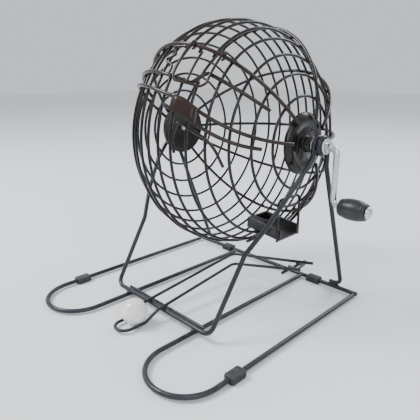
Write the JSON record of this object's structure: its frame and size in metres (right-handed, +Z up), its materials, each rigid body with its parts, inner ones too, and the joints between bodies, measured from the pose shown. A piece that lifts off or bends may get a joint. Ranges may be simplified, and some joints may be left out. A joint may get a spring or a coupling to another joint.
{
  "type": "bingo cage",
  "caption": "Ellipsoid wire ball cage with a crank, loading hatch and ball selector, turning in a bent-wire stand with a ball runway.",
  "frame": {"origin": "bottom centre of the whole object's bounding box, on the table", "axes": "+X along the axle towards the crank, -Y towards the ball cradle, +Z up"},
  "size_m": [0.251, 0.2666, 0.25],
  "materials": {
    "drum_enamel": "gloss brown-black enamel over steel wire",
    "stand_enamel": "satin slate-black enamel over steel wire",
    "steel": "bright drawn steel",
    "black_plastic": "satin moulded",
    "nylon": "natural moulded",
    "rubber": "matt moulded",
    "ball_white": "polished moulded"
  },
  "bodies": {
    "stand": {"base_loop_left": "stand_enamel", "base_loop_right": "stand_enamel", "rear_crossbar": "stand_enamel", "front_frame": "stand_enamel", "front_tie_bar": "stand_enamel", "rear_leg_left": "stand_enamel", "rear_leg_right": "stand_enamel", "bearing_bush_left": "nylon", "bearing_bush_right": "nylon", "foot_front_left": "rubber", "foot_front_right": "rubber", "foot_rear_left": "rubber", "foot_rear_right": "rubber", "runway_wire": "stand_enamel", "runway_support": "stand_enamel"},
    "drum": {"hoop_01": "drum_enamel", "hoop_02": "drum_enamel", "hoop_03": "drum_enamel", "hoop_04": "drum_enamel", "hoop_05": "drum_enamel", "hoop_06": "drum_enamel", "hoop_07": "drum_enamel", "hoop_08": "drum_enamel", "hoop_09": "drum_enamel", "hoop_10": "drum_enamel", "hoop_11": "drum_enamel", "hoop_12": "drum_enamel", "hoop_13": "drum_enamel", "hoop_14": "drum_enamel", "hoop_15": "drum_enamel", "rib_1": "drum_enamel", "rib_2": "drum_enamel", "rib_3": "drum_enamel", "rib_4": "drum_enamel", "rib_5": "drum_enamel", "hatch_rail_upper": "drum_enamel", "hatch_rail_lower": "drum_enamel", "channel_rail_upper": "drum_enamel", "channel_rail_lower": "drum_enamel", "gate_plate": "drum_enamel", "scoop_wire": "drum_enamel", "mouth_rail_front": "drum_enamel", "mouth_rail_rear": "drum_enamel", "selector_tray": "black_plastic", "tray_stirrup": "drum_enamel", "hub_left": "drum_enamel", "hub_right": "drum_enamel", "axle_stub_left": "steel", "crank_rod": "steel", "retaining_ring_left": "steel", "retaining_ring_right": "steel", "knob_cap": "steel"},
    "hatch_door": {"hatch_door_frame": "drum_enamel", "hatch_door_bar": "drum_enamel", "hatch_latch_spring": "drum_enamel"},
    "grip": {"crank_knob": "black_plastic"},
    "ball": {"drawn_ball": "ball_white"}
  },
  "joints": [
    {"name": "drum_spin", "type": "hinge", "parent": "stand", "child": "drum", "pos_m": [-0.0145, 0.0287, 0.149], "axis": [1, 0, 0], "continuous": true},
    {"name": "hatch_swing", "type": "hinge", "parent": "drum", "child": "hatch_door", "pos_m": [0.01479, -0.03374, 0.22082], "axis": [-0.9039, -0.2806, 0.3228], "range_deg": [0, 110]},
    {"name": "grip_spin", "type": "hinge", "parent": "drum", "child": "grip", "pos_m": [0.1105, 0.0287, 0.103], "axis": [1, 0, 0], "continuous": true},
    {"name": "ball_lift", "type": "slide", "parent": "stand", "child": "ball", "axis": [0, 0, 1], "range_m": [0, 0.05]}
  ]
}
